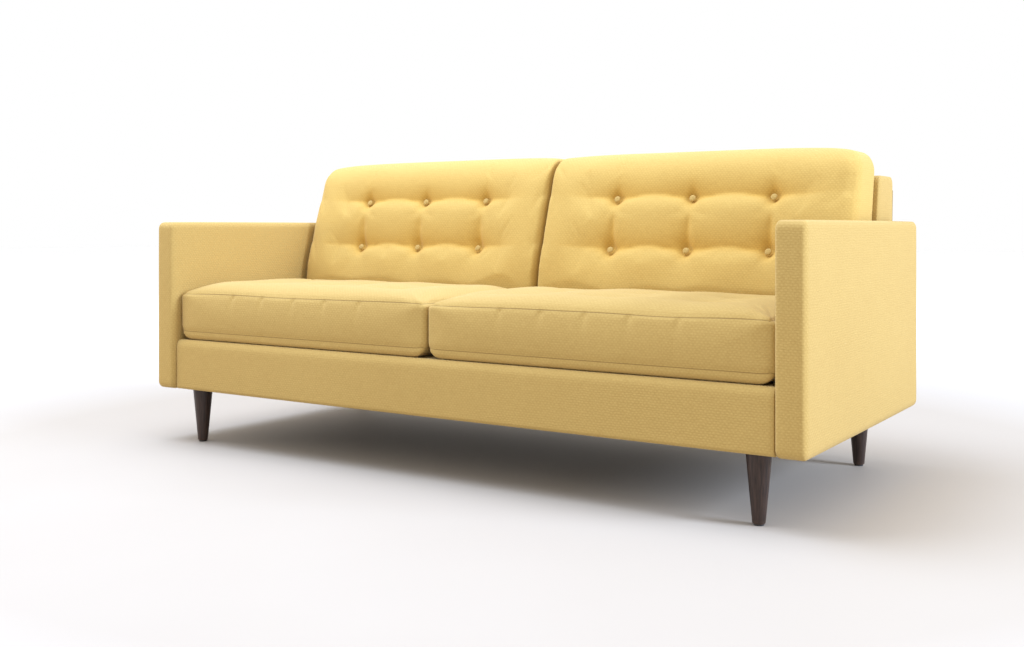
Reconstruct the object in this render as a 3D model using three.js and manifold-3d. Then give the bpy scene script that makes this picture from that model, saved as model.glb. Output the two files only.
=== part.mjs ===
// A two-cushion sofa with track arms, loose cushions and tapered wooden legs.
//
// Millimetres. X runs along the sofa, to the right as seen from the front. The front faces -Y, and
// +Z is up. The origin is on the floor, under the middle of the sofa. Left and right are as seen
// from the front.

import * as THREE from "three";
import { mergeVertices } from "three/addons/utils/BufferGeometryUtils.js";
import Module from "manifold-3d";

const wasm = await Module();
wasm.setup();

// ---- Driving dimensions ----------------------------------------------------------------------

// The whole sofa.
const sofaWidth = 2000;
const sofaDepth = 935;
const backHeight = 780; // top of the fixed back, without the cushions
const baseHeight = 159; // floor to the underside of the upholstery

// Gap between two pieces that touch, and around the loose cushions.
const touch = 0.3;
const cushionGap = 1;

// Arms: an upholstered box each.
const armThickness = 71;
const armRearSetback = 28; // the rear of the arms, ahead of the rear of the back
const armHeight = 656;
const armEdgeRadius = 15;
const armCornerRadius = 18;
const armPadding = 11.7;

// Wooden frame.
const boardThickness = 28;
const woodLift = 3.3; // upholstery's underside to the underside of the wood
const seatRailHeight = 122.7;
const rearRailSetback = 12.5; // the front of the rear seat rail, ahead of the back's front
const bottomRailWidth = 42;
const bottomRailHeight = 38;
const stretcherWidth = 40;
const stretcherHeight = 60;
const armPostWidth = 60;
const armStudWidth = 40;
const armStudCount = 3;
const armTopRailHeight = 60;
const blockWidth = 132;
const blockDepth = 101; // of the front blocks: the rear ones fill the space between two rails
const blockHeight = 38;
const blockChamfer = 35;

// Front rail's upholstery.
const railSetback = 12; // behind the front of the arms
const railPadding = 9.7;
const railEdgeRadius = 17;
const railTopFlange = 22;
const railFlangeClearance = 1.5; // between its fold under the rail and the front legs
const railBottomThickness = 3;

// Seat suspension.
const springWire = 3.6;
const springCount = 6;
const springWaveWidth = 44;
const springWaveCount = 12;
const deckThickness = 16.5;

// Fixed back.
const backDepthAtSeat = 200; // its padded front, at the level of the deck, to the sofa's rear
const backRakeDegrees = 9.5; // its front, from upright
const backRearLean = 35; // how far its rear leans back on the way up
const backWall = 10;
const backEdgeRadius = 25;
const backEndRounding = 12;
const backPanelThickness = 5;
const backPanelTopGap = 35; // from the top of the back to the top of the rear panel
const postThickness = 25;
const topRailHeight = 25;
const lowerRailLift = 24.3; // above the deck
const lowerRailHeight = 60;
const webbingThickness = 3;
const webbingStraps = 10;
const webbingStrapWidth = 60;
const webbingBand = 40;

// Seat cushions.
const seatCushionSetback = 14.5; // its front, behind the front of the arms
const seatCushionClearance = 8; // to the back cushion behind it
const seatBandHeight = 140; // underside to the top seam
const seatCrown = 32; // top seam to the highest point
const seatCrownRun = 96; // from the front or rear seam to where the crown is full
const seatEndRounding = 30;
const seatEndInset = 20;
const seatCornerRadius = 24;
const coverWall = 4;

// Back cushions. Heights are above the deck, and depths are from their front to the fixed back.
const backFootDepth = 192.5; // the part behind the seat cushion
const backKneeHeight = 194; // where the front starts to recline
const backShoulderHeight = 334; // the middle of the front
const backShoulderDepth = 210.4;
const backBrowHeight = 484; // where the front rolls over to the top
const backBrowDepth = 186.5;
const backCushionHeight = 554;
const backTopSetback = 45; // from the brow back to where the top begins
const backCushionCornerRadius = 62;
const backCushionBendRadius = 200;
const backCushionEndRounding = 75;
const backCushionEndInset = 55;

// Buttons of the back cushions: three columns and two rows.
const buttonRadius = 9.5;
const buttonHeight = 8;
const buttonDome = [[0.9, 0], [1, 0.25], [0.9, 0.6], [0.55, 0.9]]; // shares of its radius and height
const buttonPitch = 234.5;
const buttonRows = [277.3, 422.3]; // heights of the rows above the deck
const dimpleDepth = 26;
const dimpleMouthRadius = 45;
const dimpleFloorRadius = 12;

// Zip opening in the rear of each cover.
const zipLength = 520;
const zipWidth = 3;
const zipReach = 12; // how far its cutter reaches to each side of the rear face

// Legs.
const legInset = 127; // from the outside of the arm to the leg's axis
const legFromFront = 66;
const legFromRear = 137;
const legTopRadius = 29;
const legFootRadius = 14.25;
const legFootRounding = 1.5;
const legTopRecess = 1.7; // how far the leg reaches above the upholstery's underside
const glideRadius = 11.5;
const glideThickness = 3;
const glideChamfer = 0.8;
const boltRadius = 4;
const boltBelow = 42; // depth of the bolt in the leg
const boltAbove = 35; // height of the bolt above the leg's top
const dustThickness = 1;

// Segments around each round piece or hollow.
const legSegments = 24;
const glideSegments = 16;
const boltSegments = 12;
const buttonSegments = 12;
const dimpleSegments = 8;

// How far a cutter passes beyond the piece it cuts.
const overrun = 20;

// Corners closer than this are one corner.
const weldDistance = 1e-4;

// ---- Materials -------------------------------------------------------------------------------

const finish = (color, roughness, metalness = 0) => () =>
  new THREE.MeshStandardMaterial({ color, roughness, metalness });
const yellowWeave = finish(0xe8c468, 0.95);
const espressoWood = finish(0x33241f, 0.45);
const paleWood = finish(0xc9a877, 0.8);
const springSteel = finish(0x6e7073, 0.4, 0.9);
const boltSteel = finish(0x9a9c9e, 0.35, 0.9);
const foam = finish(0xf0e6cf, 0.95);
const decking = finish(0x8f8474, 0.95);
const blackCambric = finish(0x1d1c1b, 0.95);
const webbing = finish(0x5e4a36, 0.9);
const nylon = finish(0x2a2a2a, 0.6);

// ---- Shared places worked out from the dimensions --------------------------------------------

const sofaFront = -sofaDepth / 2;
const sofaRear = sofaDepth / 2;
const sides = [["left", -1], ["right", 1]];
const armInner = sofaWidth / 2 - armThickness;
const armRear = sofaRear - armRearSetback;
const backFrontAtSeat = sofaRear - backDepthAtSeat;
const rearRailFront = backFrontAtSeat - rearRailSetback;
const woodBottom = baseHeight + woodLift;
const seatRailTop = woodBottom + seatRailHeight;
const armCavityInner = armInner + armPadding;
const coverEnd = armInner - touch;
const railCoverFront = sofaFront + railSetback;
const railFlangeRear = sofaFront + legFromFront - legTopRadius - railFlangeClearance;
const frontRailFront = railCoverFront + railPadding + touch;
const frontRailRear = frontRailFront + boardThickness;
const rearRailRear = rearRailFront + boardThickness;
const springBottom = seatRailTop + touch;
const deckBottom = springBottom + springWire + touch;
const deckTop = deckBottom + deckThickness;
const cushionBottom = deckTop + touch;
const lowerRailBottom = deckTop + lowerRailLift;
const backCushionFoot = backFrontAtSeat - backFootDepth;
const backRake = THREE.MathUtils.degToRad(backRakeDegrees);
const backCoverBottom = deckTop + touch;
const backPanelTop = backHeight - backPanelTopGap;
const legX = sofaWidth / 2 - legInset;
const legPlaces = [
  ["front", sofaFront + legFromFront],
  ["rear", sofaRear - legFromRear],
];
const legTop = baseHeight + legTopRecess;
const dustBottom = legTop + touch;
const dustTop = dustBottom + dustThickness;

// The fixed back's front plane, pushed back by some thickness, at a height.
const backFrontAt = (height, behind = 0) =>
  backFrontAtSeat + (height - deckTop) * Math.tan(backRake) + behind / Math.cos(backRake);

// The fixed back's rear plane, pulled forward by some thickness, at a height.
const backRearAt = (height, ahead = 0) => {
  const top = backHeight - backEdgeRadius;
  return sofaRear - (backRearLean * (top - height)) / (top - baseHeight) - ahead;
};

const bottomRailRear = backRearAt(woodBottom, backPanelThickness + 2 * touch);
const bottomRailFront = bottomRailRear - bottomRailWidth;

// ---- Geometry helpers ------------------------------------------------------------------------

const sofa = new THREE.Group();

function add(name, geometry, material) {
  const mesh = new THREE.Mesh(geometry, material());
  mesh.name = name;
  sofa.add(mesh);
  return mesh;
}

function toSolid(geometry) {
  const bare = geometry.clone();
  bare.deleteAttribute("normal");
  bare.deleteAttribute("uv");
  const merged = mergeVertices(bare, weldDistance);
  const vertProperties = new Float32Array(merged.attributes.position.array);
  const triVerts = new Uint32Array(merged.index.array);
  return new wasm.Manifold(new wasm.Mesh({ numProp: 3, vertProperties, triVerts }));
}

function toGeometry(solid) {
  const mesh = solid.getMesh();
  const geometry = new THREE.BufferGeometry();
  geometry.setAttribute("position", new THREE.BufferAttribute(mesh.vertProperties, 3));
  geometry.setIndex(new THREE.BufferAttribute(mesh.triVerts, 1));
  geometry.computeVertexNormals();
  return geometry;
}

// What is left of a geometry after others are cut out of it.
function cut(geometry, cutters) {
  let solid = toSolid(geometry);
  for (const cutter of cutters) {
    solid = solid.subtract(toSolid(cutter));
  }
  return toGeometry(solid);
}

// A block between two corners.
function block(low, high) {
  const size = high.map((value, axis) => value - low[axis]);
  const geometry = new THREE.BoxGeometry(...size);
  geometry.translate(...low.map((value, axis) => value + size[axis] / 2));
  return geometry;
}

// A closed outline from corner points [across, up, radius], each corner rounded by its radius.
function outline(corners, segments = 3) {
  const points = [];
  corners.forEach(([x, y, radius = 0], index) => {
    const corner = new THREE.Vector2(x, y);
    if (radius === 0) {
      points.push(corner);
      return;
    }
    const before = corners[(index + corners.length - 1) % corners.length];
    const after = corners[(index + 1) % corners.length];
    const toBefore = new THREE.Vector2(before[0], before[1]).sub(corner).normalize();
    const toAfter = new THREE.Vector2(after[0], after[1]).sub(corner).normalize();
    const half = Math.acos(THREE.MathUtils.clamp(toBefore.dot(toAfter), -1, 1)) / 2;
    const middle = toBefore.clone().add(toAfter).normalize();
    const centre = corner.clone().addScaledVector(middle, radius / Math.sin(half));
    const start = corner.clone().addScaledVector(toBefore, radius / Math.tan(half)).sub(centre);
    const end = corner.clone().addScaledVector(toAfter, radius / Math.tan(half)).sub(centre);
    const turn = Math.atan2(start.cross(end), start.dot(end));
    for (let step = 0; step <= segments; step += 1) {
      const arm = start.clone().rotateAround(new THREE.Vector2(), (turn * step) / segments);
      points.push(centre.clone().add(arm));
    }
  });
  return new THREE.Shape(points);
}

// Extrudes a side-view outline (Y across, Z up) along X. With a rounding, its two ends are
// rounded over by that much along X, while the outline draws in by the inset.
function alongX(shape, start, end, rounding = 0, inset = rounding) {
  const geometry = new THREE.ExtrudeGeometry(shape, {
    depth: end - start - 2 * rounding,
    bevelEnabled: rounding > 0,
    bevelThickness: rounding,
    bevelSize: inset,
    bevelOffset: -inset,
    bevelSegments: 2,
    steps: 1,
    curveSegments: 4,
  });
  geometry.rotateX(Math.PI / 2);
  geometry.rotateZ(Math.PI / 2);
  geometry.translate(start + rounding, 0, 0);
  return geometry;
}

// Extrudes a plan outline (X across, Y deep) upwards between two heights.
function upwards(shape, low, high) {
  const settings = { depth: high - low, bevelEnabled: false, curveSegments: 6 };
  const geometry = new THREE.ExtrudeGeometry(shape, settings);
  geometry.translate(0, 0, low);
  return geometry;
}

// The corner points of an outline, which runs anticlockwise, with its edges moved in by an amount.
function drawnIn(corners, by) {
  return corners.map(([x, y, radius = 0], index) => {
    const corner = new THREE.Vector2(x, y);
    const before = corners[(index + corners.length - 1) % corners.length];
    const after = corners[(index + 1) % corners.length];
    const arriving = corner.clone().sub(new THREE.Vector2(before[0], before[1])).normalize();
    const leaving = new THREE.Vector2(after[0], after[1]).sub(corner).normalize();
    const normals = new THREE.Vector2(-arriving.y - leaving.y, arriving.x + leaving.x);
    const moved = corner.addScaledVector(normals, by / (1 + arriving.dot(leaving)));
    return [moved.x, moved.y, Math.max(radius - by, 0)];
  });
}

// ---- Seat frame ------------------------------------------------------------------------------

function addSeatFrame() {
  const rail = (name, front, rear, top) =>
    add(name, block([-armCavityInner, front, woodBottom], [armCavityInner, rear, top]), paleWood);
  rail("front_rail", frontRailFront, frontRailRear, seatRailTop);
  rail("rear_seat_rail", rearRailFront, rearRailRear, seatRailTop);
  rail("back_bottom_rail", bottomRailFront, bottomRailRear, woodBottom + bottomRailHeight);
  const stretcher = block(
    [-stretcherWidth / 2, frontRailRear + touch, woodBottom],
    [stretcherWidth / 2, rearRailFront - touch, woodBottom + stretcherHeight],
  );
  add("center_stretcher", stretcher, paleWood);
}

// A block in each corner of the base, drilled for the leg's bolt.
function addCornerBlocks() {
  const places = {
    front: [frontRailRear + touch, frontRailRear + touch + blockDepth],
    rear: [rearRailRear + touch, bottomRailFront - touch],
  };
  const boreRadius = boltRadius + touch;
  for (const [place, legY] of legPlaces) {
    const [near, far] = places[place];
    for (const [side, sign] of sides) {
      const outer = sign * armCavityInner;
      const inner = sign * (armCavityInner - blockWidth);
      const corners = [[outer, near], [outer, far], [inner + sign * blockChamfer, far]];
      corners.push([inner, far - blockChamfer], [inner, near]);
      const shape = outline(sign > 0 ? corners : corners.reverse());
      const blank = upwards(shape, woodBottom, woodBottom + blockHeight);
      const boreLength = blockHeight + 2 * overrun;
      const bore = new THREE.CylinderGeometry(boreRadius, boreRadius, boreLength, boltSegments);
      bore.rotateX(Math.PI / 2);
      bore.translate(sign * legX, legY, woodBottom + blockHeight / 2);
      add(`corner_block_${place}_${side}`, cut(blank, [bore]), paleWood);
    }
  }
}

// ---- Arms ------------------------------------------------------------------------------------

// The ladder frame inside an arm, and the fabric box around it. The fabric's inner side is open
// below the seat, where the rails and blocks are fixed to the frame.
function addArms() {
  const padded = armPadding + touch;
  const frameFront = sofaFront + padded;
  const frameRear = armRear - padded;
  const frameTop = armHeight - padded;
  const openingBottom = seatRailTop;
  const openingTop = frameTop - armTopRailHeight;
  const openingsStart = frameFront + armPostWidth;
  const openingsEnd = frameRear - armPostWidth;
  const studsWidth = armStudCount * armStudWidth;
  const openingWidth = (openingsEnd - openingsStart - studsWidth) / (armStudCount + 1);
  const coverCorners = [[sofaFront, baseHeight, armCornerRadius], [armRear, baseHeight, armCornerRadius]];
  coverCorners.push([armRear, armHeight, armCornerRadius], [sofaFront, armHeight, armCornerRadius]);

  for (const [side, sign] of sides) {
    const place = (inner, outer) => (sign > 0 ? [inner, outer] : [-outer, -inner]);
    const [frameLow, frameHigh] = place(armCavityInner + touch, sofaWidth / 2 - padded);
    const frame = block([frameLow, frameFront, woodBottom], [frameHigh, frameRear, frameTop]);
    const openings = [];
    for (let index = 0; index <= armStudCount; index += 1) {
      const start = openingsStart + index * (openingWidth + armStudWidth);
      const low = [frameLow - armPadding, start, openingBottom];
      openings.push(block(low, [frameHigh + armPadding, start + openingWidth, openingTop]));
    }
    add(`arm_frame_${side}`, cut(frame, openings), paleWood);

    const outerX = place(armInner, sofaWidth / 2);
    const cavityX = place(armCavityInner, sofaWidth / 2 - armPadding);
    const windowX = place(armInner - armPadding, armCavityInner + armPadding);
    const cavity = block(
      [cavityX[0], frameFront - touch, woodBottom - touch],
      [cavityX[1], frameRear + touch, frameTop + touch],
    );
    const window = block(
      [windowX[0], frontRailFront - touch, woodBottom - touch],
      [windowX[1], bottomRailRear + touch, seatRailTop + touch],
    );
    const skin = alongX(outline(coverCorners), ...outerX, armEdgeRadius);
    add(`arm_cover_${side}`, cut(skin, [cavity, window]), yellowWeave);
  }
}

// ---- Front rail's upholstery, deck and underside ---------------------------------------------

function addRailCover() {
  const wallRear = railCoverFront + railPadding;
  const corners = [
    [railCoverFront, baseHeight],
    [railFlangeRear, baseHeight],
    [railFlangeRear, baseHeight + railBottomThickness],
    [wallRear, baseHeight + railBottomThickness],
    [wallRear, springBottom],
    [railCoverFront + railTopFlange, springBottom],
    [railCoverFront + railTopFlange, deckTop],
    [railCoverFront, deckTop, railEdgeRadius],
  ];
  add("rail_cover", alongX(outline(corners), -coverEnd, coverEnd), yellowWeave);
}

// Wave-shaped wires stretched from the front rail to the rear seat rail.
function addSprings() {
  const start = railCoverFront + railTopFlange + touch + springWire;
  const end = rearRailRear - springWire;
  const height = springBottom + springWire / 2;
  const pitch = (2 * armInner) / springCount;
  const samples = 4;
  const half = springWire / 2;
  const section = outline([[-half, -half], [half, -half], [half, half], [-half, half]]);
  for (let index = 0; index < springCount; index += 1) {
    const middle = (index - (springCount - 1) / 2) * pitch;
    const points = [];
    const last = springWaveCount * samples;
    for (let step = 0; step <= last; step += 1) {
      const across = (springWaveWidth / 2) * Math.sin((2 * Math.PI * step) / samples);
      points.push(new THREE.Vector3(middle + across, THREE.MathUtils.lerp(start, end, step / last), height));
    }
    const path = new THREE.CatmullRomCurve3(points);
    const wire = new THREE.ExtrudeGeometry(section, { steps: last, extrudePath: path });
    add(`seat_spring_${index + 1}`, wire, springSteel);
  }
}

function addDeck() {
  const front = railCoverFront + railTopFlange + touch;
  const deck = block([-coverEnd, front, deckBottom], [coverEnd, rearRailRear, deckTop]);
  add("seat_deck", deck, decking);
}

// Thin cloth under the frame, with a hole for each leg's bolt.
function addDustCover() {
  const front = railFlangeRear + touch;
  const rear = backRearAt(dustBottom, backPanelThickness + touch);
  const shape = outline([[-coverEnd, front], [coverEnd, front], [coverEnd, rear], [-coverEnd, rear]]);
  for (const [, legY] of legPlaces) {
    for (const [, sign] of sides) {
      const hole = new THREE.Path();
      hole.absarc(sign * legX, legY, boltRadius + 2 * touch, 0, 2 * Math.PI, true);
      shape.holes.push(hole);
    }
  }
  add("dust_cover", upwards(shape, dustBottom, dustTop), blackCambric);
}

// ---- Fixed back ------------------------------------------------------------------------------

function addBackFrame() {
  const postInner = coverEnd - backWall - touch - postThickness;
  const inside = backWall + touch;
  const postBottom = woodBottom + bottomRailHeight + touch;
  const frameTop = backHeight - inside;
  const postFront = rearRailRear + touch;
  const bendRise = (postFront - backFrontAt(deckTop, inside)) / Math.tan(backRake);
  const panelFront = (height) => backRearAt(height, backPanelThickness + 2 * touch);
  for (const [side, sign] of sides) {
    const corners = [[postFront, postBottom], [panelFront(postBottom), postBottom]];
    corners.push([panelFront(frameTop), frameTop], [backFrontAt(frameTop, inside), frameTop]);
    corners.push([postFront, deckTop + bendRise]);
    const start = sign > 0 ? postInner : -postInner - postThickness;
    add(`back_post_${side}`, alongX(outline(corners), start, start + postThickness), paleWood);
  }

  // The rails of the back lie behind the webbing, between the posts.
  const railX = [-(postInner - touch), postInner - touch];
  const behindWebbing = inside + webbingThickness + touch;
  const topRail = [
    [backFrontAt(frameTop - topRailHeight, behindWebbing), frameTop - topRailHeight],
    [panelFront(frameTop - topRailHeight), frameTop - topRailHeight],
    [panelFront(frameTop), frameTop],
    [backFrontAt(frameTop, behindWebbing), frameTop],
  ];
  add("back_top_rail", alongX(outline(topRail), ...railX), paleWood);
  const lowerRailTop = lowerRailBottom + lowerRailHeight;
  const lowerRail = [
    [backFrontAt(lowerRailBottom, behindWebbing), lowerRailBottom],
    [backFrontAt(lowerRailBottom, behindWebbing + boardThickness), lowerRailBottom],
    [backFrontAt(lowerRailTop, behindWebbing + boardThickness), lowerRailTop],
    [backFrontAt(lowerRailTop, behindWebbing), lowerRailTop],
  ];
  add("back_lower_rail", alongX(outline(lowerRail), ...railX), paleWood);

  // Upright straps between an upper and a lower band, in the plane of the back's front.
  const slab = webbingThickness * Math.sin(backRake);
  const length = (frameTop - lowerRailBottom - slab) / Math.cos(backRake);
  const halfWidth = postInner - touch;
  const gap = (2 * halfWidth - webbingStraps * webbingStrapWidth) / (webbingStraps - 1);
  const gaps = [];
  for (let index = 0; index < webbingStraps - 1; index += 1) {
    const low = -halfWidth + webbingStrapWidth + index * (webbingStrapWidth + gap);
    const high = [low + gap, length - webbingBand, 2 * webbingThickness];
    gaps.push(block([low, webbingBand, -webbingThickness], high));
  }
  const straps = cut(block([-halfWidth, 0, 0], [halfWidth, length, webbingThickness]), gaps);
  straps.rotateX(Math.PI / 2 - backRake);
  straps.translate(0, backFrontAt(lowerRailBottom, inside + webbingThickness), lowerRailBottom);
  add("back_webbing", straps, webbing);
}

// The padded cover over the front, top and ends of the back, and the panel that closes its rear.
function addBackUpholstery() {
  const outer = outline([
    [backFrontAt(backCoverBottom), backCoverBottom],
    [backRearAt(backCoverBottom), backCoverBottom],
    [backRearAt(backHeight), backHeight, backEdgeRadius],
    [backFrontAt(backHeight), backHeight, backEdgeRadius],
  ]);
  const below = backCoverBottom - backWall;
  const beyond = sofaRear + backWall;
  const ceiling = backHeight - backWall;
  const cavity = alongX(outline([
    [backFrontAt(below, backWall), below],
    [backRearAt(below, backWall / 2), below],
    [backRearAt(ceiling, backWall / 2), ceiling],
    [backFrontAt(ceiling, backWall), ceiling],
  ]), -(coverEnd - backWall), coverEnd - backWall);
  const rearAhead = backPanelThickness + touch;
  const rebateTop = backPanelTop + touch;
  const rebate = alongX(outline([
    [backRearAt(below, rearAhead), below],
    [beyond, below],
    [beyond, rebateTop],
    [backRearAt(rebateTop, rearAhead), rebateTop],
  ]), -sofaWidth, sofaWidth);
  const skin = alongX(outer, -coverEnd, coverEnd, backEndRounding);
  add("back_cover", cut(skin, [cavity, rebate]), yellowWeave);

  const panel = outline([
    [backRearAt(baseHeight, backPanelThickness), baseHeight],
    [backRearAt(baseHeight), baseHeight],
    [backRearAt(backPanelTop), backPanelTop],
    [backRearAt(backPanelTop, backPanelThickness), backPanelTop],
  ]);
  add("outside_back", alongX(panel, -coverEnd, coverEnd), yellowWeave);
}

// ---- Loose cushions --------------------------------------------------------------------------

// A cover with a zip opening in its rear, around a foam core. The hollows are pressed into both.
function addCushion(name, corners, span, end, zip, hollows = () => []) {
  const filled = (by) => {
    const shape = outline(drawnIn(corners, by));
    const geometry = alongX(shape, span[0] + by, span[1] - by, end.rounding - by, end.inset - by);
    return cut(geometry, hollows(by));
  };
  add(`${name}_cover`, cut(filled(0), [filled(coverWall), zip]), yellowWeave);
  add(`${name}_core`, filled(coverWall + touch), foam);
}

function addSeatCushions() {
  const front = sofaFront + seatCushionSetback;
  const rear = backCushionFoot - seatCushionClearance;
  const seam = cushionBottom + seatBandHeight;
  const top = seam + seatCrown;
  const corners = [
    [front, cushionBottom, seatCornerRadius],
    [rear, cushionBottom, seatCornerRadius],
    [rear, seam, seatCornerRadius],
    [rear - seatCrownRun, top, seatCrownRun],
    [front + seatCrownRun, top, seatCrownRun],
    [front, seam, seatCornerRadius],
  ];
  const outerEnd = armInner - cushionGap;
  for (const [side, sign] of sides) {
    const span = sign > 0 ? [cushionGap, outerEnd] : [-outerEnd, -cushionGap];
    const middle = (span[0] + span[1]) / 2;
    const height = cushionBottom + seatBandHeight / 2;
    const zip = block(
      [middle - zipLength / 2, rear - zipReach, height - zipWidth / 2],
      [middle + zipLength / 2, rear + zipReach, height + zipWidth / 2],
    );
    const end = { rounding: seatEndRounding, inset: seatEndInset };
    addCushion(`seat_cushion_${side}`, corners, span, end, zip);
  }
}

// Where the front of a side-view outline is at a height.
function frontAt(shape, height) {
  const points = shape.getPoints();
  const crossings = points.map((point, index) => {
    const next = points[(index + 1) % points.length];
    const share = (height - point.y) / (next.y - point.y);
    return share >= 0 && share <= 1 ? point.x + share * (next.x - point.x) : Infinity;
  });
  return Math.min(...crossings);
}

// A hollow pressed into the front by a button, and widened by a wall. It narrows from its mouth
// to the floor the button sits on.
function buttonHollow(mouth, lean, wall) {
  const slope = (dimpleMouthRadius - dimpleFloorRadius) / dimpleDepth;
  const length = dimpleDepth + overrun;
  const floorRadius = dimpleFloorRadius + wall;
  const topRadius = floorRadius + slope * length;
  const hollow = new THREE.CylinderGeometry(topRadius, floorRadius, length, dimpleSegments);
  hollow.rotateX(Math.PI - lean);
  const centre = new THREE.Vector3(0, Math.cos(lean), -Math.sin(lean));
  centre.multiplyScalar(dimpleDepth + wall - length / 2).add(mouth);
  hollow.translate(centre.x, centre.y, centre.z);
  return hollow;
}

// A domed button on the floor of its hollow.
function button(mouth, lean) {
  const dome = buttonDome.map(([out, up]) => new THREE.Vector2(out * buttonRadius, up * buttonHeight));
  const profile = [new THREE.Vector2(0, 0), ...dome, new THREE.Vector2(0, buttonHeight)];
  const geometry = new THREE.LatheGeometry(profile, buttonSegments);
  geometry.rotateX(Math.PI - lean);
  const floor = new THREE.Vector3(0, Math.cos(lean), -Math.sin(lean));
  floor.multiplyScalar(dimpleDepth - touch).add(mouth);
  geometry.translate(floor.x, floor.y, floor.z);
  return geometry;
}

function addBackCushions() {
  const behind = -cushionGap;
  const kneeHeight = deckTop + backKneeHeight;
  const shoulderHeight = deckTop + backShoulderHeight;
  const shoulderFront = backFrontAt(shoulderHeight) - backShoulderDepth;
  const browHeight = deckTop + backBrowHeight;
  const browFront = backFrontAt(browHeight) - backBrowDepth;
  const top = deckTop + backCushionHeight;
  const corners = [
    [backCushionFoot, cushionBottom, backCushionCornerRadius],
    [backFrontAt(cushionBottom, behind), cushionBottom, backCushionCornerRadius],
    [backFrontAt(top, behind), top, backCushionCornerRadius],
    [browFront + backTopSetback, top, backCushionCornerRadius],
    [browFront, browHeight, backCushionBendRadius],
    [shoulderFront, shoulderHeight, backCushionBendRadius],
    [backCushionFoot, kneeHeight, backCushionBendRadius],
  ];
  const shape = outline(corners);
  const outerEnd = armInner - cushionGap;
  const middle = (cushionGap + outerEnd) / 2;
  const lean = Math.atan2(browFront - shoulderFront, browHeight - shoulderHeight);
  const zipHeight = (cushionBottom + kneeHeight) / 2;
  const zipRear = backFrontAt(zipHeight);
  const end = { rounding: backCushionEndRounding, inset: backCushionEndInset };

  for (const [side, sign] of sides) {
    const span = sign > 0 ? [cushionGap, outerEnd] : [-outerEnd, -cushionGap];
    const mouths = [];
    for (const column of [-1, 0, 1]) {
      for (const row of buttonRows) {
        const height = deckTop + row;
        const x = sign * middle + column * buttonPitch;
        mouths.push(new THREE.Vector3(x, frontAt(shape, height), height));
      }
    }
    const hollows = (wall) => mouths.map((mouth) => buttonHollow(mouth, lean, wall));
    const zip = block(
      [sign * middle - zipLength / 2, zipRear - zipReach, zipHeight - zipWidth / 2],
      [sign * middle + zipLength / 2, zipRear + zipReach, zipHeight + zipWidth / 2],
    );
    addCushion(`back_cushion_${side}`, corners, span, end, zip, hollows);
    mouths.forEach((mouth, index) => {
      add(`back_button_${side}_${index + 1}`, button(mouth, lean), yellowWeave);
    });
  }
}

// ---- Legs ------------------------------------------------------------------------------------

// A turned leg on a glide, hung on a bolt that reaches up into its corner block.
function addLegs() {
  const legBottom = glideThickness + touch;
  const boreBottom = legTop - boltBelow;
  const boreRadius = boltRadius + touch;
  const legProfile = [
    [0, legBottom],
    [legFootRadius - legFootRounding, legBottom],
    [legFootRadius, legBottom + legFootRounding],
    [legTopRadius, legTop],
    [boreRadius, legTop],
    [boreRadius, boreBottom],
    [0, boreBottom],
  ];
  const glideProfile = [
    [0, 0],
    [glideRadius - glideChamfer, 0],
    [glideRadius, glideChamfer],
    [glideRadius, glideThickness],
    [0, glideThickness],
  ];
  const boltLength = boltBelow + boltAbove - touch;
  const turned = (profile, segments) => {
    const points = profile.map((point) => new THREE.Vector2(...point));
    const geometry = new THREE.LatheGeometry(points, segments);
    geometry.rotateX(Math.PI / 2);
    return geometry;
  };
  for (const [place, legY] of legPlaces) {
    for (const [side, sign] of sides) {
      const stand = (name, geometry, material) => {
        add(`${name}_${place}_${side}`, geometry, material).position.set(sign * legX, legY, 0);
      };
      stand("leg", turned(legProfile, legSegments), espressoWood);
      stand("glide", turned(glideProfile, glideSegments), nylon);
      const bolt = new THREE.CylinderGeometry(boltRadius, boltRadius, boltLength, boltSegments);
      bolt.rotateX(Math.PI / 2);
      bolt.translate(0, 0, boreBottom + touch + boltLength / 2);
      stand("leg_bolt", bolt, boltSteel);
    }
  }
}

addSeatFrame();
addCornerBlocks();
addArms();
addRailCover();
addSprings();
addDeck();
addDustCover();
addBackFrame();
addBackUpholstery();
addSeatCushions();
addBackCushions();
addLegs();

export default sofa;
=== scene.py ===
"""A two-cushion sofa with track arms, loose button-tufted cushions and tapered wooden legs.

Metres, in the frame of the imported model: X to the right as seen from the front, the front facing
-Y, +Z up, and the origin on the floor under the middle of the sofa.
"""

import math

import bpy
import numpy as np
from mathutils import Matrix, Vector


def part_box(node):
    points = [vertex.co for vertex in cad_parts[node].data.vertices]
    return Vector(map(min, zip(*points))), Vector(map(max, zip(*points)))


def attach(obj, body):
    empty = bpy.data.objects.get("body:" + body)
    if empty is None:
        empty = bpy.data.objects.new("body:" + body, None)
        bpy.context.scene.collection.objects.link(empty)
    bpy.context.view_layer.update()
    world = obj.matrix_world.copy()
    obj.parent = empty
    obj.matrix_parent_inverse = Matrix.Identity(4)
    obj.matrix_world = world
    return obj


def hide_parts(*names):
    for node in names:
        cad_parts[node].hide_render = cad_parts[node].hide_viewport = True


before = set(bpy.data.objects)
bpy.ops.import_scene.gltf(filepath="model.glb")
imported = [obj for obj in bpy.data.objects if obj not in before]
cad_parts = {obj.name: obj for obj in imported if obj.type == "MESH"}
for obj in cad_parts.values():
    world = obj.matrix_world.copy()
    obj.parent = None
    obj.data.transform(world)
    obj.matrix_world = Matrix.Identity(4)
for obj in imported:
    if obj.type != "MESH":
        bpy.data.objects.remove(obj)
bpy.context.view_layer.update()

scene = bpy.context.scene


# ---- Camera, floor and light -------------------------------------------------------------------
# A studio with a pale seamless floor. One large soft light hangs above on the left, and another
# stands to the right, both a little cool against the warm floor. A weak one fills the front.

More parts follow.
